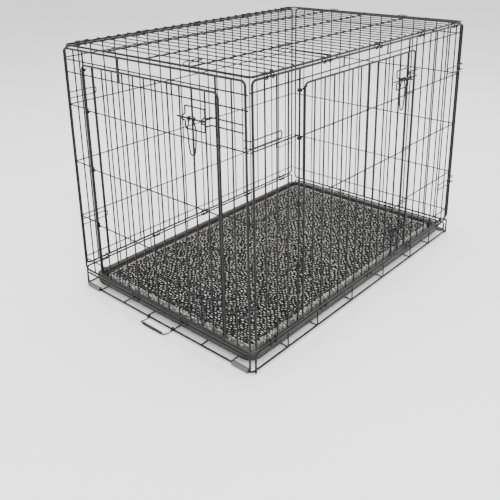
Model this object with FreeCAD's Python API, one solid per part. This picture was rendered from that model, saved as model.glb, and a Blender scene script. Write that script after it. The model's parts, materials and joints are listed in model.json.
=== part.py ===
import FreeCAD, Part
import math
import os

# Folding wire dog crate with a plastic tray.
# Frame: X along the length, with the front door at -X; Y across, with the side door at -Y; Z up.
# The origin is on the floor under the middle of the crate.
# Each panel is drawn in its own (along, outward, up) coordinates, which the face functions place.

V = FreeCAD.Vector

# ---- driving dimensions, mm ----

# planes of the frame wires
END_PLANE = 530.5
SIDE_PLANE = 352.5
SIDE_HALF = 520.0
END_HALF = 341.5
PANEL_TOP = 754.0
SIDE_FOOT = 70.0
FRONT_FOOT = 58.5
REAR_FOOT = 48.0

# wire radii
FRAME_R = 3.0
RAIL_R = 2.75
EDGE_R = 2.5
BAR_R = 2.1
ROW_R = 1.85
DOOR_ROW_R = 1.75
LATCH_R = 1.9
HOOK_R = 1.6
CLIP_R = 1.4
CLIP_SPINE_R = 1.25
BOLT_R = 2.25

# where the welded wires of a panel lie, outward from the plane of its frame
ROW_OUT = -(FRAME_R + ROW_R)
FRAME_BEND = 12.0
ROW_PAST_FRAME = 2.0

# heights of the level wires
ROW_HEIGHTS = (238.0, 414.0, 589.0)
END_LOW_ROW = 92.0
END_STOP_ROW = 686.0
END_TOP_ROW = 722.0
SIDE_LOW_ROW = 98.0
SIDE_TOP_ROW = 726.0

# front end panel, along Y
FRONT_HINGE = 256.5
FRONT_EDGE = -250.0
FRONT_OUTER_BAR = 299.0
FRONT_SHORT_BAR = 101.0
FRONT_SPLIT_LOW = 98.0
FRONT_SPLIT_HIGH = 680.0

# near side panel, along X
SIDE_HINGE = -350.0
SIDE_EDGE = 172.0
SIDE_BAR_PITCH_HINGE = 42.5
SIDE_BAR_PITCH_EDGE = 43.5
SIDE_SHORT_BARS = (-165.0, 50.0)
SIDE_SPLIT_LOW = 104.0
SIDE_SPLIT_HIGH = 716.0

# doors
DOOR_OUT = 9.2
DOOR_SETBACK = 8.0
DOOR_BEND = 14.0
DOOR_TOP = 718.0
FRONT_DOOR_FOOT = 73.0
FRONT_DOOR_FREE = -267.0
FRONT_DOOR_BARS = 11
SIDE_DOOR_FOOT = 80.0
SIDE_DOOR_FREE = 191.0
SIDE_DOOR_BARS = 12
DOOR_TOP_EYE = 708.0
EYE_DROP = 5.0
EYE_PLAY = 0.6

# slide bolts, measured inward from the free edge of the door
BOLT_OUT = 18.0
BOLT_TIP = 31.5
BOLT_LENGTH = 99.0
BRACKET_NEAR = 41.0
BRACKET_FAR = 107.0
BRACKET_HALF_HEIGHT = 28.0
KEEPER_EYE = 29.0
KEEPER_OUT = 24.0
KEEPER_HALF_HEIGHT = 9.5
HANDLE_CENTRE = 80.5
HANDLE_DROP = 90.0
LATCH_HEIGHTS = {"upper": 646.0, "lower": 170.0}

# corner hooks of the side panels
HOOK_HEIGHTS = (210.0, 612.0)
HOOK_HALF_HEIGHT = 9.0
HOOK_CLOSED_END = 424.0
HOOK_TIP_REACH = 12.0

# top panel
TOP_RISE = 7.0
TOP_INSET = 3.5
TOP_CROSS_WIRES = 27
TOP_CROSS_R = 1.6
TOP_LONG_R = 2.25
TOP_LONG_PLACES = (-162.0, 0.0, 162.0)
TOP_HOOK_PLACES = (-142.0, 142.0)
TOP_HOOK_HALF_WIDTH = 8.5
TOP_HOOK_R = 1.4
TOP_HOOK_EYE = 4.2
TOP_HOOK_END = 515.3
TOP_HOOK_TIP = 508.5
TOP_HOOK_CLOSED_END = 468.0

# base
BASE_SIDE = 347.0
BASE_HEIGHT = 7.0
BASE_BEND = 10.0
SIDE_RAIL_HEIGHT = 60.0
SIDE_RAIL_HALF = 522.0
FRONT_RAIL_HEIGHT = 48.0
REAR_RAIL_HEIGHT = 36.0
END_RAIL_HALF = 340.0
FLOOR_R = 2.0
FLOOR_CROSS_HALF = 340.0
FLOOR_CROSS_PLACES = (-392.0, -261.0, -88.0, 88.0, 261.0, 392.0)
FLOOR_LONG_PLACES = (-275.0, -165.0, -55.0, 55.0, 165.0, 275.0)

# hinge clips
CLIP_PLAY = 0.5
CLIP_HALF = 11.0
BOTTOM_CLIP_PLACES = (-455.5, -236.0, 0.0, 236.0, 455.5)
TOP_CLIP_PLACES = (-461.0, -241.0, 0.0, 241.0, 461.0)
FRONT_CLIP_PLACES = (-101.0, 101.0)
REAR_CLIP_PLACES = (-106.7, 106.7)

# roller feet
ROLLER_R = 7.0
ROLLER_LENGTH = 54.0
ROLLER_PLACE = 308.0
ROLLER_PLAY = 0.45

# tray stop, lying outward on the floor at rest
STOP_HALF = 50.0
STOP_LENGTH = 31.0
STOP_R = 1.5
STOP_PLAY = 0.5
STOP_BAR_RISE = 2.75
GRIP_R = 3.2
GRIP_RIB_R = 4.0
GRIP_RIBS = 16
GRIP_PITCH = 5.0

# tray and mat
TRAY_FLOOR = 14.2
TRAY_TOP = 39.6
TRAY_HALF_LENGTH = 516.0
TRAY_HALF_WIDTH = 334.0
TRAY_RIM = 14.0
TRAY_WALL = 2.6
TRAY_CORNER = 38.0
TRAY_STEP_DROP = 9.0
TRAY_STEP_WIDTH = 7.0
TRAY_SKIRT_FOOT = 16.5
TRAY_SKIRT_BEAD = 30.0
TRAY_SKIRT_INSET = 2.5
MAT_GAP = 4.0
MAT_BOTTOM = 17.4
MAT_TOP = 38.0


# ---- faces ----

def front(along, outward, up):
    return V(-END_PLANE - outward, along, up)


def rear(along, outward, up):
    return V(END_PLANE + outward, along, up)


def near(along, outward, up):
    return V(along, -SIDE_PLANE - outward, up)


def far(along, outward, up):
    return V(along, SIDE_PLANE + outward, up)


# ---- wire work ----

def bar(start, end, radius):
    run = end.sub(start)
    return Part.makeCylinder(radius, run.Length, start, run)


def corner_arc(before, corner, after, bend):
    """Where the bend begins, its middle and where it ends."""
    back = before.sub(corner).normalize()
    on = after.sub(corner).normalize()
    half_angle = back.getAngle(on) / 2
    setback = bend / math.tan(half_angle)
    middle = back.add(on).normalize() * (bend / math.sin(half_angle) - bend)
    return corner + back * setback, corner + middle, corner + on * setback


def bent_wire(points, radius, bend, closed=False):
    """A round wire of straight runs joined by bends of one radius."""
    if closed:
        start = (points[0] + points[1]) * 0.5
        route = [start] + points[1:] + [points[0], start]
    else:
        route = points
    edges = []
    place = route[0]
    for before, corner, after in zip(route, route[1:], route[2:]):
        first, middle, last = corner_arc(before, corner, after, bend)
        if first.distanceToPoint(place) > 1e-6:
            edges.append(Part.makeLine(place, first))
        edges.append(Part.Arc(first, middle, last).toShape())
        place = last
    edges.append(Part.makeLine(place, route[-1]))
    section = Part.makeCircle(radius, route[0], route[1].sub(route[0]))
    return Part.Wire(edges).makePipe(Part.Face(Part.Wire([section])))


def ring(centre, axis, ring_radius, radius):
    return Part.makeTorus(ring_radius, radius, centre, axis)


def joined(shapes):
    whole = shapes[0].multiFuse(shapes[1:])
    return whole.Solids[0]


def spread(first, last, count):
    """Places of count wires evenly between first and last, without the two ends."""
    pitch = (last - first) / (count + 1)
    return [first + pitch * (i + 1) for i in range(count)]


def save(node, shapes):
    group = Part.makeCompound(shapes)
    if not group.isValid():
        raise ValueError(node + " is not valid")
    if len(group.Solids) != len(shapes):
        raise ValueError(node + " holds something that is not one solid")
    group.exportStep("parts/" + node + ".step")
    print(node, len(group.Solids), "solids", round(group.Volume / 1000, 1), "cm3")


# ---- welded panels ----

def uprights(face, places, low, high, radius=BAR_R):
    out = ROW_OUT + ROW_R + radius
    return [bar(face(u, out, low), face(u, out, high), radius) for u in places]


def rows(face, heights, first, last):
    return [bar(face(first, ROW_OUT, w), face(last, ROW_OUT, w), ROW_R) for w in heights]


def frame_half(face, half, end_height, split):
    """The top or the bottom of a frame, down or up to the height where the side strips begin."""
    corners = [
        face(-half, 0, split),
        face(-half, 0, end_height),
        face(half, 0, end_height),
        face(half, 0, split),
    ]
    return bent_wire(corners, FRAME_R, FRAME_BEND)


def frame_loop(face, half, low, high):
    corners = [face(-half, 0, low), face(half, 0, low), face(half, 0, high), face(-half, 0, high)]
    return bent_wire(corners, FRAME_R, FRAME_BEND, closed=True)


def plain_panel(face, half, foot, bar_places, row_heights):
    reach = half + ROW_PAST_FRAME
    solids = [frame_loop(face, half, foot, PANEL_TOP)]
    solids += uprights(face, bar_places, foot, PANEL_TOP)
    solids += rows(face, row_heights, -reach, reach)
    return solids


def make_rear_end():
    places = spread(-END_HALF, END_HALF, 15)
    heights = (END_LOW_ROW,) + ROW_HEIGHTS + (END_TOP_ROW,)
    save("rear_end_panel", plain_panel(rear, END_HALF, REAR_FOOT, places, heights))


def make_far_side():
    places = spread(-SIDE_HALF, SIDE_HALF, 23)
    heights = (SIDE_LOW_ROW,) + ROW_HEIGHTS + (SIDE_TOP_ROW,)
    save("far_side_panel", plain_panel(far, SIDE_HALF, SIDE_FOOT, places, heights))


def door_panel(name, face, half, foot, splits, thick, thin, short, low_rows, high_rows):
    """A panel round a doorway, as strips below, above and at each side of it.

    thick are the doorway's two edge wires, the lower place first, and thin the other full uprights.
    """
    low, high = splits
    reach = half + ROW_PAST_FRAME
    edges = uprights(face, thick, foot, low, EDGE_R)
    below = [frame_half(face, half, foot, low)] + edges + rows(face, low_rows, -reach, reach)
    below += uprights(face, thin, foot, low)
    save(name + "_bottom", below)

    edges = uprights(face, thick, high, PANEL_TOP, EDGE_R)
    above = [frame_half(face, half, PANEL_TOP, high)] + edges + rows(face, high_rows, -reach, reach)
    above += uprights(face, thin, high, PANEL_TOP)
    above += uprights(face, short, min(high_rows), PANEL_TOP)
    save(name + "_top", above)

    for word, outer, edge in (("left", -half, thick[0]), ("right", half, thick[1])):
        inner = edge + math.copysign(2.0, edge - outer)
        strip = [bar(face(outer, 0, low), face(outer, 0, high), FRAME_R)]
        strip += uprights(face, [edge], low, high, EDGE_R)
        strip += uprights(face, [u for u in thin if min(outer, edge) < u < max(outer, edge)], low, high)
        strip += rows(face, ROW_HEIGHTS, outer + math.copysign(ROW_PAST_FRAME, outer), inner)
        save(name + "_" + word, strip)


def make_front_end():
    thin = (-FRONT_OUTER_BAR, FRONT_OUTER_BAR)
    short = (-FRONT_SHORT_BAR, FRONT_SHORT_BAR)
    splits = (FRONT_SPLIT_LOW, FRONT_SPLIT_HIGH)
    door_panel("front_end_panel", front, END_HALF, FRONT_FOOT, splits, (FRONT_EDGE, FRONT_HINGE), thin,
               short, (END_LOW_ROW,), (END_STOP_ROW, END_TOP_ROW))


def make_near_side():
    thin = [SIDE_HINGE - SIDE_BAR_PITCH_HINGE * i for i in range(1, 4)]
    thin += [SIDE_EDGE + SIDE_BAR_PITCH_EDGE * i for i in range(1, 8)]
    splits = (SIDE_SPLIT_LOW, SIDE_SPLIT_HIGH)
    door_panel("near_side_panel", near, SIDE_HALF, SIDE_FOOT, splits, (SIDE_HINGE, SIDE_EDGE), thin,
               SIDE_SHORT_BARS, (SIDE_LOW_ROW,), (SIDE_TOP_ROW,))


def make_top_panel():
    height = PANEL_TOP + TOP_RISE
    half = SIDE_PLANE - TOP_INSET
    corners = [
        V(-SIDE_HALF, -half, height),
        V(SIDE_HALF, -half, height),
        V(SIDE_HALF, half, height),
        V(-SIDE_HALF, half, height),
    ]
    solids = [bent_wire(corners, FRAME_R, FRAME_BEND, closed=True)]
    cross_height = height + FRAME_R + TOP_CROSS_R
    reach = half + 1.5
    for x in spread(-SIDE_HALF, SIDE_HALF, TOP_CROSS_WIRES):
        solids.append(bar(V(x, -reach, cross_height), V(x, reach, cross_height), TOP_CROSS_R))
    long_height = cross_height - TOP_CROSS_R - TOP_LONG_R
    for y in TOP_LONG_PLACES:
        solids.append(bar(V(-SIDE_HALF, y, long_height), V(SIDE_HALF, y, long_height), TOP_LONG_R))
    save("top_panel", solids)


def make_top_hooks():
    """Hairpins on the cross wires, each leg curling down and back at its end beside the frame wire."""
    height = PANEL_TOP + TOP_RISE + FRAME_R + 2 * TOP_CROSS_R + TOP_HOOK_R + 0.05
    curl = height - 2 * TOP_HOOK_EYE
    solids = []
    for sign in (-1, 1):
        for middle in TOP_HOOK_PLACES:
            one = middle - TOP_HOOK_HALF_WIDTH
            other = middle + TOP_HOOK_HALF_WIDTH
            route = [
                V(sign * TOP_HOOK_TIP, one, curl),
                V(sign * TOP_HOOK_END, one, curl),
                V(sign * TOP_HOOK_END, one, height),
                V(sign * TOP_HOOK_CLOSED_END, one, height),
                V(sign * TOP_HOOK_CLOSED_END, other, height),
                V(sign * TOP_HOOK_END, other, height),
                V(sign * TOP_HOOK_END, other, curl),
                V(sign * TOP_HOOK_TIP, other, curl),
            ]
            solids.append(bent_wire(route, TOP_HOOK_R, TOP_HOOK_EYE - 0.05))
    save("top_panel_hooks", solids)


# ---- doors ----

def hinge_eye(face, hinge, height):
    """Two turns of a row wire round the hinge wire of the panel."""
    out = ROW_OUT + ROW_R + EDGE_R
    axis = face(hinge, out, height)
    radius = EDGE_R + EYE_PLAY + DOOR_ROW_R
    return [ring(axis - V(0, 0, 2 * DOOR_ROW_R * i), V(0, 0, 1), radius, DOOR_ROW_R) for i in range(2)]


def make_door(name, face, hinge, free, foot, bars):
    inward = math.copysign(1, free - hinge)
    inner = hinge + inward * DOOR_SETBACK
    frame_corners = [
        face(inner, DOOR_OUT, foot),
        face(free, DOOR_OUT, foot),
        face(free, DOOR_OUT, DOOR_TOP),
        face(inner, DOOR_OUT, DOOR_TOP),
    ]
    solids = [bent_wire(frame_corners, RAIL_R, DOOR_BEND, closed=True)]
    bar_out = DOOR_OUT - RAIL_R + BAR_R
    for u in spread(inner, free, bars):
        solids.append(bar(face(u, bar_out, foot), face(u, bar_out, DOOR_TOP), BAR_R))
    row_out = DOOR_OUT - RAIL_R - DOOR_ROW_R
    for height, end in [(w, free) for w in ROW_HEIGHTS] + [(DOOR_TOP_EYE, inner + inward * 14)]:
        row = [
            face(end, row_out, height),
            face(hinge + inward * 14, row_out, height),
            face(hinge, row_out, height - EYE_DROP),
        ]
        if end == free:
            solids.append(bent_wire(row, DOOR_ROW_R, 8.0))
        else:
            solids.append(bar(row[0], row[2], DOOR_ROW_R))
        solids += hinge_eye(face, hinge, height - EYE_DROP)
    save(name, solids)


# ---- slide bolts ----

def make_bracket(name, place):
    """A closed wire loop welded across two bars of the door, arched outward over the bolt at both sides."""
    low_out = DOOR_OUT - RAIL_R + 2 * BAR_R + LATCH_R
    high_out = BOLT_OUT + BOLT_R + 0.5 + LATCH_R
    tall = BRACKET_HALF_HEIGHT

    def guide(d, sign):
        profile = [(low_out, 9), (high_out, 4), (high_out, -4), (low_out, -9)]
        return [place(d, out, sign * dz) for out, dz in profile]

    middle = (BRACKET_NEAR + BRACKET_FAR) / 2
    weld_gap = 0.3
    route = [place(middle, low_out, tall), place(BRACKET_NEAR, low_out, tall)]
    route += guide(BRACKET_NEAR, 1)
    route += [place(BRACKET_NEAR, low_out, -tall), place(BRACKET_FAR, low_out, -tall)]
    route += guide(BRACKET_FAR, -1)
    route += [place(BRACKET_FAR, low_out, tall), place(middle + weld_gap, low_out, tall)]
    save(name, [bent_wire(route, LATCH_R, 3.0)])


def make_bolt(name, place):
    tip = place(BOLT_TIP + BOLT_R, BOLT_OUT, 0)
    tail = place(BOLT_TIP + BOLT_LENGTH - BOLT_R, BOLT_OUT, 0)
    rod = bar(tip, tail, BOLT_R)
    ends = [Part.makeSphere(BOLT_R, tip), Part.makeSphere(BOLT_R, tail)]
    save(name, [joined([rod] + ends)])


def make_handle(name, place):
    """A long wire loop that hangs from two eyes round the bolt."""
    eye_radius = BOLT_R + 0.4 + LATCH_R
    axis = place(1, 0, 0).sub(place(0, 0, 0))
    outline = [(8.0, -eye_radius), (14.5, -24.0), (12.0, -64.0), (7.0, -HANDLE_DROP)]
    left = [place(HANDLE_CENTRE - dx, BOLT_OUT, dz) for dx, dz in outline]
    right = [place(HANDLE_CENTRE + dx, BOLT_OUT, dz) for dx, dz in reversed(outline)]
    loop = bent_wire(left + right, LATCH_R, 6.0)
    eyes = [ring(place(HANDLE_CENTRE + s * 8.0, BOLT_OUT, 0), axis, eye_radius, LATCH_R) for s in (-1, 1)]
    save(name, [joined([loop] + eyes)])


def make_keeper(name, place, leg_end):
    """A hairpin behind the door whose closed end stands out through it as the eye for the bolt."""
    leg_out = ROW_OUT + ROW_R + 2 * EDGE_R + LATCH_R + 0.05
    tall = KEEPER_HALF_HEIGHT
    legs = [place(leg_end, leg_out, tall), place(KEEPER_EYE, leg_out, tall)]
    eye = [place(KEEPER_EYE, KEEPER_OUT, tall), place(KEEPER_EYE, KEEPER_OUT, -tall)]
    back = [place(KEEPER_EYE, leg_out, -tall), place(leg_end, leg_out, -tall)]
    save(name, [bent_wire(legs + eye + back, LATCH_R, 4.0)])


def make_latches(prefix, face, free, outward_sign, leg_end):
    for level, height in LATCH_HEIGHTS.items():
        def place(d, out, dz, height=height):
            return face(free - outward_sign * d, out, height + dz)

        make_bracket(prefix + "_" + level + "_bracket", place)
        make_bolt(prefix + "_" + level + "_bolt", place)
        make_handle(prefix + "_" + level + "_handle", place)
        make_keeper(prefix + "_" + level + "_keeper", place, leg_end)


# ---- corner hooks ----

def make_near_hooks():
    """Hairpins on the near side panel whose bent tips close round the outside of the end panels."""
    out = FRAME_R + HOOK_R
    tip_x = END_PLANE + FRAME_R + 1.0 + HOOK_R
    solids = []
    for sign in (-1, 1):
        for height in HOOK_HEIGHTS:
            upper = height + HOOK_HALF_HEIGHT
            lower = height - HOOK_HALF_HEIGHT
            route = [
                near(sign * tip_x, -HOOK_TIP_REACH, upper),
                near(sign * tip_x, out, upper),
                near(sign * HOOK_CLOSED_END, out, upper),
                near(sign * HOOK_CLOSED_END, out, lower),
                near(sign * tip_x, out, lower),
                near(sign * tip_x, -HOOK_TIP_REACH, lower),
            ]
            solids.append(bent_wire(route, HOOK_R, 5.0))
    save("near_side_corner_hooks", solids)


def make_far_hooks():
    out = FRAME_R + HOOK_R
    solids = []
    for sign in (-1, 1):
        for height in HOOK_HEIGHTS:
            upper = height + HOOK_HALF_HEIGHT
            lower = height - HOOK_HALF_HEIGHT
            route = [
                far(sign * SIDE_HALF, out, upper),
                far(sign * HOOK_CLOSED_END, out, upper),
                far(sign * HOOK_CLOSED_END, out, lower),
                far(sign * SIDE_HALF, out, lower),
            ]
            solids.append(bent_wire(route, HOOK_R, 5.0))
    save("far_side_corner_hooks", solids)


# ---- base ----

def make_base():
    corners = [
        V(-END_PLANE, -BASE_SIDE, BASE_HEIGHT),
        V(END_PLANE, -BASE_SIDE, BASE_HEIGHT),
        V(END_PLANE, BASE_SIDE, BASE_HEIGHT),
        V(-END_PLANE, BASE_SIDE, BASE_HEIGHT),
    ]
    save("base_bottom_frame", [bent_wire(corners, RAIL_R, BASE_BEND, closed=True)])

    for name, face in (("base_near_rail", near), ("base_far_rail", far)):
        foot = BASE_HEIGHT - 2.5
        route = [
            face(-SIDE_RAIL_HALF, 0, foot),
            face(-SIDE_RAIL_HALF, 0, SIDE_RAIL_HEIGHT),
            face(SIDE_RAIL_HALF, 0, SIDE_RAIL_HEIGHT),
            face(SIDE_RAIL_HALF, 0, foot),
        ]
        solids = [bent_wire(route, RAIL_R, BASE_BEND)]
        floor = BASE_HEIGHT + RAIL_R + FLOOR_R
        inset = FLOOR_CROSS_HALF - SIDE_PLANE
        for x in FLOOR_CROSS_PLACES:
            upright = [face(x, inset, floor), face(x, 0, floor), face(x, 0, SIDE_RAIL_HEIGHT - RAIL_R)]
            solids.append(bent_wire(upright, FLOOR_R, 5.0))
        save(name, solids)

    for name, face, height in (
        ("base_front_rail", front, FRONT_RAIL_HEIGHT),
        ("base_rear_rail", rear, REAR_RAIL_HEIGHT),
    ):
        foot = BASE_HEIGHT + RAIL_R
        route = [
            face(-END_RAIL_HALF, 0, foot),
            face(-END_RAIL_HALF, 0, height),
            face(END_RAIL_HALF, 0, height),
            face(END_RAIL_HALF, 0, foot),
        ]
        save(name, [bent_wire(route, RAIL_R, BASE_BEND)])


def make_floor_wires():
    height = BASE_HEIGHT + RAIL_R + FLOOR_R
    half = FLOOR_CROSS_HALF
    wires = [bar(V(x, -half, height), V(x, half, height), FLOOR_R) for x in FLOOR_CROSS_PLACES]
    save("base_cross_wires", wires)

    height -= 2 * FLOOR_R
    reach = END_PLANE - RAIL_R
    wires = [bar(V(-reach, y, height), V(reach, y, height), FLOOR_R) for y in FLOOR_LONG_PLACES]
    save("base_long_wires", wires)


# ---- hinge clips ----

def make_clips(name, face, places, lower, upper, spine):
    """Each clip is two rings round a lower and an upper wire, given as (outward, height), and a spine.

    The spine joins the rings under the lower wire, or outboard of either wire.
    """
    radius = FRAME_R + CLIP_PLAY + CLIP_R
    lower = V(*lower, 0)
    upper = V(*upper, 0)
    up = upper.sub(lower).normalize()
    out = V(up.y, -up.x, 0)
    corners = [
        lower - up * radius + out * radius,
        upper + up * radius + out * radius,
        upper + up * radius - out * radius,
        lower - up * radius - out * radius,
    ]
    spines = {
        "under": lower - up * radius,
        "beside lower": lower + out * radius,
        "beside upper": upper + out * radius,
    }
    back = spines[spine]
    clips = []
    for u in places:
        shapes = [bar(face(u - CLIP_HALF, back.x, back.y), face(u + CLIP_HALF, back.x, back.y), CLIP_SPINE_R)]
        for side in (u - CLIP_HALF, u + CLIP_HALF):
            route = [face(side, c.x, c.y) for c in corners]
            shapes.append(bent_wire(route, CLIP_R, radius - 0.01, closed=True))
        clips.append(joined(shapes))
    save(name, clips)


def make_all_clips():
    rail = (0, SIDE_RAIL_HEIGHT)
    foot = (0, SIDE_FOOT)
    panel_top = (0, PANEL_TOP)
    top_frame = (-TOP_INSET, PANEL_TOP + TOP_RISE)
    for word, face in (("near", near), ("far", far)):
        make_clips(word + "_bottom_clips", face, BOTTOM_CLIP_PLACES, rail, foot, "under")
        make_clips(word + "_top_clips", face, TOP_CLIP_PLACES, panel_top, top_frame, "beside upper")
    for name, face, places, rail_height, foot in (
        ("front_end_clips", front, FRONT_CLIP_PLACES, FRONT_RAIL_HEIGHT, FRONT_FOOT),
        ("rear_end_clips", rear, REAR_CLIP_PLACES, REAR_RAIL_HEIGHT, REAR_FOOT),
    ):
        make_clips(name, face, places, (0, rail_height), (0, foot), "beside lower")


# ---- roller feet and tray stop ----

def make_rollers():
    for end_word, x in (("front", -END_PLANE), ("rear", END_PLANE)):
        for side_word, sign in (("near", -1), ("far", 1)):
            start = V(x, sign * ROLLER_PLACE - ROLLER_LENGTH / 2, BASE_HEIGHT)
            tube = Part.makeCylinder(ROLLER_R, ROLLER_LENGTH, start, V(0, 1, 0))
            rims = [e for e in tube.Edges if e.Curve.TypeId == "Part::GeomCircle"]
            tube = tube.makeFillet(1.2, rims)
            bore = Part.makeCylinder(RAIL_R + ROLLER_PLAY, ROLLER_LENGTH, start, V(0, 1, 0))
            save("roller_" + end_word + "_" + side_word, [tube.cut(bore).Solids[0]])


def make_tray_stop():
    eye_radius = RAIL_R + STOP_PLAY + STOP_R
    axis_x = -END_PLANE
    low = BASE_HEIGHT - eye_radius
    high = low + STOP_BAR_RISE
    tip_x = axis_x - STOP_LENGTH
    route = [
        V(axis_x, -STOP_HALF, low),
        V(axis_x - STOP_LENGTH / 2, -STOP_HALF, low),
        V(tip_x, -STOP_HALF, high),
        V(tip_x, STOP_HALF, high),
        V(axis_x - STOP_LENGTH / 2, STOP_HALF, low),
        V(axis_x, STOP_HALF, low),
    ]
    loop = bent_wire(route, STOP_R, 4.0)
    eyes = [ring(V(axis_x, s * STOP_HALF, BASE_HEIGHT), V(0, 1, 0), eye_radius, STOP_R) for s in (-1, 1)]
    save("tray_stop", [joined([loop] + eyes)])

    length = GRIP_PITCH * GRIP_RIBS
    start = V(tip_x, -length / 2, high)
    sleeve = Part.makeCylinder(GRIP_R, length, start, V(0, 1, 0))
    ribs = []
    for i in range(GRIP_RIBS):
        foot = start + V(0, GRIP_PITCH * (i + 0.25), 0)
        ribs.append(Part.makeCylinder(GRIP_RIB_R, GRIP_PITCH / 2, foot, V(0, 1, 0)))
    bore = Part.makeCylinder(STOP_R + 0.02, length, start, V(0, 1, 0))
    save("tray_stop_grip", [joined([sleeve] + ribs).cut(bore).Solids[0]])


# ---- tray and mat ----

def rounded_block(half_x, half_y, corner, low, high):
    block = Part.makeBox(2 * half_x, 2 * half_y, high - low, V(-half_x, -half_y, low))
    posts = [e for e in block.Edges if abs(e.tangentAt(e.FirstParameter).z) > 0.99]
    return block.makeFillet(corner, posts)


def make_tray():
    """A shallow tray whose rim turns outward and down into a skirt, with a step inside down to its floor."""
    hx = TRAY_HALF_LENGTH
    hy = TRAY_HALF_WIDTH
    wall = TRAY_WALL
    ledge = TRAY_RIM
    foot = TRAY_RIM + TRAY_STEP_WIDTH
    tuck = TRAY_SKIRT_INSET
    step = TRAY_TOP - TRAY_STEP_DROP

    def block(inset, low, high):
        return rounded_block(hx - inset, hy - inset, TRAY_CORNER - inset, low, high)

    bead = block(0, TRAY_SKIRT_BEAD, TRAY_TOP).cut(block(wall, TRAY_SKIRT_BEAD, TRAY_TOP - wall))
    skirt = block(tuck, TRAY_SKIRT_FOOT, TRAY_TOP - 1)
    skirt = skirt.cut(block(tuck + wall, TRAY_SKIRT_FOOT, TRAY_TOP - wall))
    basin = block(ledge, step - wall, TRAY_TOP).fuse(block(foot, TRAY_FLOOR, step))
    upper_hollow = block(ledge + wall, step, TRAY_TOP + 1)
    lower_hollow = block(foot + wall, TRAY_FLOOR + wall, TRAY_TOP + 1)
    tray = bead.multiFuse([skirt, basin]).cut(upper_hollow.fuse(lower_hollow))
    save("tray", tray.removeSplitter().Solids)


def make_mat():
    inset = TRAY_RIM + TRAY_STEP_WIDTH + TRAY_WALL + MAT_GAP
    hx = TRAY_HALF_LENGTH - inset
    hy = TRAY_HALF_WIDTH - inset
    mat = rounded_block(hx, hy, TRAY_CORNER - inset, MAT_BOTTOM, MAT_TOP)
    save("fleece_mat", [mat])


def main():
    os.makedirs("parts", exist_ok=True)
    make_base()
    make_floor_wires()
    make_all_clips()
    make_rollers()
    make_tray_stop()
    make_tray()
    make_mat()
    make_rear_end()
    make_far_side()
    make_front_end()
    make_near_side()
    make_top_panel()
    make_top_hooks()
    make_door("front_door", front, FRONT_HINGE, FRONT_DOOR_FREE, FRONT_DOOR_FOOT, FRONT_DOOR_BARS)
    make_door("side_door", near, SIDE_HINGE, SIDE_DOOR_FREE, SIDE_DOOR_FOOT, SIDE_DOOR_BARS)
    front_leg_end = FRONT_DOOR_FREE + END_HALF - FRAME_R - 1
    make_latches("front_door", front, FRONT_DOOR_FREE, -1, -front_leg_end)
    side_leg_end = SIDE_EDGE + SIDE_BAR_PITCH_EDGE + 4 - SIDE_DOOR_FREE
    make_latches("side_door", near, SIDE_DOOR_FREE, 1, -side_leg_end)
    make_near_hooks()
    make_far_hooks()


main()
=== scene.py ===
"""Looks for the folding wire dog crate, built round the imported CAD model.

The wires, tray and rollers are the CAD nodes with procedural materials. The fleece mat is modelled here.
"""

import json
import math

import bmesh
import bpy
from mathutils import Matrix, Vector, noise


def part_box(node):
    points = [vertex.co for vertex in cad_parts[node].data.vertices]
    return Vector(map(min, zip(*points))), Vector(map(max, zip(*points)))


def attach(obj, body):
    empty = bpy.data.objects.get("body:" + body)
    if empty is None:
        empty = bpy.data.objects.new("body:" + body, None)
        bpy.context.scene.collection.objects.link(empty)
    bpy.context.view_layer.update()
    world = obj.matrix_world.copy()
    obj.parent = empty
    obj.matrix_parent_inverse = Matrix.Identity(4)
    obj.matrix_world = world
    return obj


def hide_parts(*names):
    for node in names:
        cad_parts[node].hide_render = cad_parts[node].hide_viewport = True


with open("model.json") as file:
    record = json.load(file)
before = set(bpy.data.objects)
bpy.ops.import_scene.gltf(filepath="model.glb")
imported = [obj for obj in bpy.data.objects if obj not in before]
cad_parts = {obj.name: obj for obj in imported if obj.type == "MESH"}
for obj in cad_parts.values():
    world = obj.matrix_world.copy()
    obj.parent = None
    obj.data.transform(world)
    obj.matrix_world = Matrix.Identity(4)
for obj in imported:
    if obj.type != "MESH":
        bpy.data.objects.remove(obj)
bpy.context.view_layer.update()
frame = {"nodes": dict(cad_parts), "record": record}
NODES = frame["nodes"]
MM = 0.001

NOISE_SEED = 7
noise.seed_set(NOISE_SEED)


# ---- node helpers ----

def new_material(name):
    mat = bpy.data.materials.new(name)
    mat.use_nodes = True
    tree = mat.node_tree
    tree.nodes.clear()
    out = tree.nodes.new("ShaderNodeOutputMaterial")
    shader = tree.nodes.new("ShaderNodeBsdfPrincipled")
    tree.links.new(shader.outputs["BSDF"], out.inputs["Surface"])
    return mat, tree, shader


def add(tree, kind, **sockets):
    node = tree.nodes.new(kind)
    for name, value in sockets.items():
        node.inputs[name.replace("_", " ")].default_value = value
    return node


def coords(tree):
    return tree.nodes.new("ShaderNodeTexCoord").outputs["Object"]


def noise_tex(tree, scale, detail=3.0, rough=0.5, vector=None):
    tex = add(tree, "ShaderNodeTexNoise", Scale=scale, Detail=detail, Roughness=rough)
    tree.links.new(vector or coords(tree), tex.inputs["Vector"])
    return tex.outputs["Fac"]


def ramp(tree, fac, stops):
    node = tree.nodes.new("ShaderNodeValToRGB")
    elements = node.color_ramp.elements
    while len(elements) < len(stops):
        elements.new(0.5)
    for element, (place, colour) in zip(elements, stops):
        element.position = place
        element.color = (*colour, 1.0)
    tree.links.new(fac, node.inputs["Fac"])
    return node.outputs["Color"]


def spread(tree, fac, low, high):
    node = add(tree, "ShaderNodeMapRange")
    node.inputs["From Min"].default_value = 0.3
    node.inputs["From Max"].default_value = 0.7
    node.inputs["To Min"].default_value = low
    node.inputs["To Max"].default_value = high
    tree.links.new(fac, node.inputs["Value"])
    return node.outputs["Result"]


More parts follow.
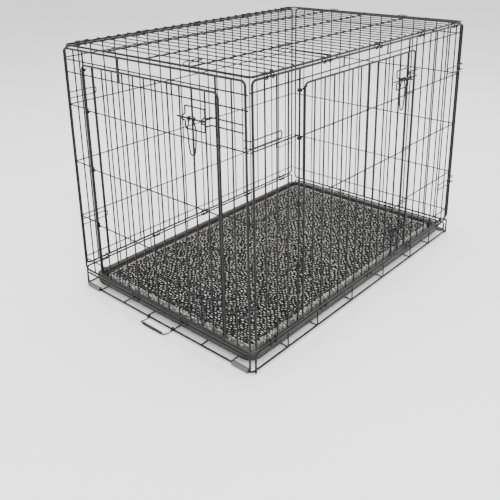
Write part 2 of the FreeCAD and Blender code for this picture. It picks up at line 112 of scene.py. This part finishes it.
def bump(tree, shader, height, strength, distance):
    node = add(tree, "ShaderNodeBump", Strength=strength, Distance=distance)
    tree.links.new(height, node.inputs["Height"])
    tree.links.new(node.outputs["Normal"], shader.inputs["Normal"])


# ---- materials ----

def coated_wire(name, dark, light, rough_low, rough_high):
    """Black dipped wire: a slightly uneven film, smoother where it has run and duller where it is rubbed."""
    mat, tree, shader = new_material(name)
    where = coords(tree)
    wide = noise_tex(tree, 9.0, 4.0, 0.6, where)
    fine = noise_tex(tree, 420.0, 3.0, 0.6, where)
    tree.links.new(ramp(tree, wide, [(0.3, dark), (0.7, light)]), shader.inputs["Base Color"])
    rubbed = spread(tree, noise_tex(tree, 60.0, 3.0, 0.55, where), rough_low, rough_high)
    tree.links.new(rubbed, shader.inputs["Roughness"])
    shader.inputs["Specular IOR Level"].default_value = 0.22
    shader.inputs["Coat Weight"].default_value = 0.04
    shader.inputs["Coat Roughness"].default_value = 0.30
    bump(tree, shader, fine, 0.25, 0.0002)
    return mat


def grained_plastic(name, dark, light, grain, rough_low, rough_high, depth):
    """Moulded plastic with a fine leather grain and faint mottling."""
    mat, tree, shader = new_material(name)
    where = coords(tree)
    cells = add(tree, "ShaderNodeTexVoronoi", Scale=grain, Randomness=1.0)
    cells.feature = "F1"
    tree.links.new(where, cells.inputs["Vector"])
    mottle = ramp(tree, noise_tex(tree, 6.0, 5.0, 0.6, where), [(0.3, dark), (0.7, light)])
    tree.links.new(mottle, shader.inputs["Base Color"])
    worn = spread(tree, noise_tex(tree, 30.0, 4.0, 0.6, where), rough_low, rough_high)
    tree.links.new(worn, shader.inputs["Roughness"])
    bump(tree, shader, cells.outputs["Distance"], 0.35, depth)
    return mat


def fleece_material():
    """Curly pile coloured by the height of each tuft: pale on the tips, near black in the gaps between
    curls, where the dark is painted shade.
    """
    mat, tree, shader = new_material("fleece")
    where = coords(tree)
    tuft_painted_shade = tree.nodes.new("ShaderNodeAttribute")
    tuft_painted_shade.attribute_name = "tuft_painted_shade"
    fibre = noise_tex(tree, 900.0, 4.0, 0.7, where)
    patch = noise_tex(tree, 14.0, 3.0, 0.5, where)
    total = add(tree, "ShaderNodeMath")
    total.operation = "MULTIPLY_ADD"
    tree.links.new(fibre, total.inputs[0])
    total.inputs[1].default_value = 0.16
    tree.links.new(tuft_painted_shade.outputs["Fac"], total.inputs[2])
    more = add(tree, "ShaderNodeMath")
    more.operation = "MULTIPLY_ADD"
    tree.links.new(patch, more.inputs[0])
    more.inputs[1].default_value = 0.10
    tree.links.new(total.outputs["Value"], more.inputs[2])
    # The near-black low stops are painted shade in the gaps of the pile; the top stop is the pale tips.
    stops = [
        (0.62, (0.0015, 0.0015, 0.0015)),
        (0.76, (0.008, 0.008, 0.008)),
        (0.90, (0.11, 0.109, 0.107)),
        (1.00, (0.38, 0.375, 0.37)),
    ]
    tree.links.new(ramp(tree, more.outputs["Value"], stops), shader.inputs["Base Color"])
    shader.inputs["Roughness"].default_value = 0.93
    shader.inputs["Sheen Weight"].default_value = 0.03
    shader.inputs["Specular IOR Level"].default_value = 0.15
    shader.inputs["Sheen Roughness"].default_value = 0.5
    bump(tree, shader, fibre, 0.6, 0.0012)
    return mat


def floor_material():
    mat, tree, shader = new_material("studio_floor")
    tree.links.new(
        ramp(tree, noise_tex(tree, 0.7), [(0.35, (0.90, 0.90, 0.90)), (0.65, (0.93, 0.93, 0.93))]),
        shader.inputs["Base Color"],
    )
    shader.inputs["Roughness"].default_value = 0.7
    return mat


BLACK = (0.0022, 0.0022, 0.0024)
CHARCOAL = (0.0060, 0.0060, 0.0062)
MATERIALS = {
    "base_wire": coated_wire("base_wire", BLACK, CHARCOAL, 0.34, 0.50),
    "panel_wire": coated_wire("panel_wire", BLACK, CHARCOAL, 0.30, 0.46),
    "door_wire": coated_wire("door_wire", BLACK, CHARCOAL, 0.30, 0.46),
    "clip_wire": coated_wire("clip_wire", BLACK, (0.012, 0.012, 0.012), 0.34, 0.52),
    "latch_wire": coated_wire("latch_wire", (0.004, 0.004, 0.0043), (0.011, 0.011, 0.0115), 0.28, 0.44),
    "grip_rubber": grained_plastic(
        "grip_rubber", (0.010, 0.010, 0.010), (0.02, 0.02, 0.02), 900.0, 0.6, 0.8, 0.0003
    ),
    "roller_plastic": grained_plastic(
        "roller_plastic", (0.060, 0.060, 0.058), (0.085, 0.085, 0.082), 1100.0, 0.40, 0.55, 0.0002
    ),
    "tray_plastic": grained_plastic(
        "tray_plastic", (0.014, 0.0128, 0.0120), (0.026, 0.0235, 0.0215), 700.0, 0.42, 0.58, 0.0004
    ),
    "fleece": fleece_material(),
}


def dress_nodes():
    slots = {part["node"]: part["material_slot"] for part in frame["record"]["subparts"]}
    for name, obj in NODES.items():
        obj.data.materials.clear()
        obj.data.materials.append(MATERIALS[slots[name]])


# ---- fleece mat ----

MAT_PITCH = 2.3 * MM
MAT_EDGE = 9.0 * MM
MAT_EDGE_STEPS = 6
MAT_CORNER = 22.0 * MM
MAT_CLEARANCE = 0.6 * MM
MAT_RIM = 0.42
MAT_CROWN = 0.9 * MM
MAT_CROWN_REACH = 0.12
MAT_SINK = 1.6 * MM
SWAY_HEIGHT = 0.9 * MM
SWAY_LENGTH = 0.11
# Tuft value for the mat's underside: painted shade, near black on the fleece ramp.
UNDERSIDE_PAINTED_SHADE = 0.4
MAT_BORDER = 12.0 * MM
CURL_WIDTH = 7.8 * MM
CURL_LENGTH = 14.5 * MM
CURL_DRIFT = 18.0 * MM
CURL_WANDER = 0.70
CURL_BREAK = 0.30
TUFT_HEIGHT = 3.2 * MM


def grid_lines(half):
    """Places across the mat: close together round the edge, even elsewhere."""
    edge = [MAT_EDGE * (1 - math.cos(math.pi / 2 * i / MAT_EDGE_STEPS)) for i in range(MAT_EDGE_STEPS + 1)]
    inner = half - edge[-1]
    count = max(2, round(2 * inner / MAT_PITCH))
    middle = [-inner + 2 * inner * i / count for i in range(1, count)]
    return [-half + e for e in edge] + middle + [half - e for e in reversed(edge)]


def pull_in(x, y, hx, hy):
    """Rounds the corners of the rectangle. Gives the moved point and its distance from the edge."""
    cx, cy = hx - MAT_CORNER, hy - MAT_CORNER
    dx, dy = abs(x) - cx, abs(y) - cy
    if dx <= 0 or dy <= 0:
        return x, y, min(hx - abs(x), hy - abs(y))
    reach = max(dx, dy)
    length = math.hypot(dx, dy)
    scale = reach / length
    return math.copysign(cx + dx * scale, x), math.copysign(cy + dy * scale, y), MAT_CORNER - reach


def tuft_height(x, y):
    """How high the pile stands, from 0 in the gaps to 1 on the tips; as the fleece colour, its low values
    are painted shade in the gaps.

    The curls stand in rows across the mat, each row shifted by half a curl, and noise bends and breaks them.
    """
    drift = noise.noise_vector(Vector((x, y, 0.3)) / CURL_DRIFT)
    row = x / CURL_WIDTH + CURL_WANDER * drift.x
    along = y / CURL_LENGTH + 0.5 * (math.floor(row) % 2) + CURL_WANDER * drift.y
    crown = math.sin(math.pi * (row % 1.0)) * math.sqrt(math.sin(math.pi * (along % 1.0)))
    fine = CURL_BREAK * noise.noise(Vector((x, y, 2.1)) / CURL_WIDTH)
    return max(0.0, min(1.0, crown + fine))


def mat_top(x, y, depth, rim, top, pile):
    """Height of the mat's upper surface, round at the edge and a little crowned."""
    t = min(1.0, max(0.0, depth / MAT_EDGE))
    rise = math.sqrt(max(0.0, 1 - (1 - t) ** 2))
    sway = noise.noise(Vector((x, y, 1.7)) / SWAY_LENGTH) * SWAY_HEIGHT
    crown = MAT_CROWN * min(1.0, depth / MAT_CROWN_REACH)
    body = rim + (top - MAT_SINK + crown + min(0.0, sway) - rim) * rise
    return body + TUFT_HEIGHT * pile * min(1.0, rise + 0.3)


def mat_underside(depth, rim, bottom):
    t = min(1.0, max(0.0, depth / MAT_EDGE))
    return rim + (bottom - rim) * math.sqrt(max(0.0, 1 - (1 - min(1.0, t * 1.6)) ** 2))


def make_mat():
    low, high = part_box("fleece_mat")
    hx, hy = (high.x - low.x) / 2 - MAT_CLEARANCE, (high.y - low.y) / 2 - MAT_CLEARANCE
    centre = (low + high) / 2
    top = high.z - TUFT_HEIGHT - 0.2 * MM
    bottom = low.z + 0.3 * MM
    rim = bottom + (top - bottom) * MAT_RIM
    xs, ys = grid_lines(hx), grid_lines(hy)
    mesh = bpy.data.meshes.new("fleece_pad")
    bm = bmesh.new()
    layer = bm.verts.layers.float.new("tuft_painted_shade")
    upper, lower = {}, {}
    for i, gx in enumerate(xs):
        for j, gy in enumerate(ys):
            x, y, depth = pull_in(gx, gy, hx, hy)
            pile = tuft_height(x, y)
            vert = bm.verts.new((centre.x + x, centre.y + y, mat_top(x, y, depth, rim, top, pile)))
            # The stored value is the fleece colour: low values paint shade into the gaps between curls.
            # Within MAT_BORDER of the edge the gaps are lifted, so the edge band carries less painted shade.
            vert[layer] = max(pile, 0.71 + 0.12 * pile) if depth < MAT_BORDER else pile
            upper[i, j] = vert
            if i in (0, len(xs) - 1) or j in (0, len(ys) - 1):
                lower[i, j] = vert
                continue
            vert = bm.verts.new((centre.x + x, centre.y + y, mat_underside(depth, rim, bottom)))
            # The underside is painted near black as shade under the mat.
            vert[layer] = UNDERSIDE_PAINTED_SHADE
            lower[i, j] = vert
    for i in range(len(xs) - 1):
        for j in range(len(ys) - 1):
            around = [(i, j), (i + 1, j), (i + 1, j + 1), (i, j + 1)]
            bm.faces.new([upper[k] for k in around])
            bm.faces.new([lower[k] for k in reversed(around)])
    bm.normal_update()
    bm.to_mesh(mesh)
    bm.free()
    mesh.polygons.foreach_set("use_smooth", [True] * len(mesh.polygons))
    pad = bpy.data.objects.new("fleece_pad", mesh)
    bpy.context.scene.collection.objects.link(pad)
    mesh.materials.append(MATERIALS["fleece"])
    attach(pad, "tray")
    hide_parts("fleece_mat")


# ---- studio ----

CAMERA_PLACE = Vector((-1.5731, -1.2848, 1.0779))
CAMERA_AZIMUTH = -48.199
CAMERA_ELEVATION = 18.863
CAMERA_ROLL = -0.992
CAMERA_LENS = 47.99
CAMERA_SHIFT = -0.2


def make_camera():
    az, el, roll = (math.radians(a) for a in (CAMERA_AZIMUTH, CAMERA_ELEVATION, CAMERA_ROLL))
    back = Vector((math.sin(az) * math.cos(el), -math.cos(az) * math.cos(el), math.sin(el)))
    level = (-back).cross(Vector((0, 0, 1))).normalized()
    up = level.cross(-back)
    right = level * math.cos(roll) + up * math.sin(roll)
    above = up * math.cos(roll) - level * math.sin(roll)
    data = bpy.data.cameras.new("camera")
    data.lens = CAMERA_LENS
    data.sensor_width = 36.0
    data.shift_y = CAMERA_SHIFT
    data.clip_start = 0.05
    data.clip_end = 200.0
    cam = bpy.data.objects.new("camera", data)
    bpy.context.scene.collection.objects.link(cam)
    turn = Matrix((right, above, back)).transposed().to_4x4()
    cam.matrix_world = Matrix.Translation(CAMERA_PLACE) @ turn
    bpy.context.scene.camera = cam


def area_light(name, place, target, size, power, colour=(1.0, 1.0, 1.0)):
    data = bpy.data.lights.new(name, "AREA")
    data.shape = "DISK"
    data.size = size
    data.energy = power
    data.color = colour
    light = bpy.data.objects.new(name, data)
    bpy.context.scene.collection.objects.link(light)
    light.location = place
    light.rotation_mode = "QUATERNION"
    light.rotation_quaternion = (Vector(target) - Vector(place)).to_track_quat("-Z", "Y")


def make_studio():
    mesh = bpy.data.meshes.new("studio_floor")
    bm = bmesh.new()
    bmesh.ops.create_grid(bm, x_segments=4, y_segments=4, size=40.0)
    bm.to_mesh(mesh)
    bm.free()
    floor = bpy.data.objects.new("studio_floor", mesh)
    bpy.context.scene.collection.objects.link(floor)
    mesh.materials.append(floor_material())

    middle = (0.0, 0.0, 0.35)
    area_light("key", (-2.2, -2.6, 3.4), middle, 2.6, 200.0)
    area_light("fill", (-3.4, 1.2, 1.8), middle, 2.4, 50.0)
    area_light("right", (2.8, -2.6, 1.6), middle, 2.4, 50.0)
    area_light("overhead", (0.4, 0.6, 3.8), middle, 3.2, 125.0)

    world = bpy.data.worlds.new("studio")
    world.use_nodes = True
    world.node_tree.nodes["Background"].inputs["Color"].default_value = (1.0, 1.0, 1.0, 1.0)
    world.node_tree.nodes["Background"].inputs["Strength"].default_value = 1.45
    bpy.context.scene.world = world


dress_nodes()
make_mat()
make_studio()
make_camera()
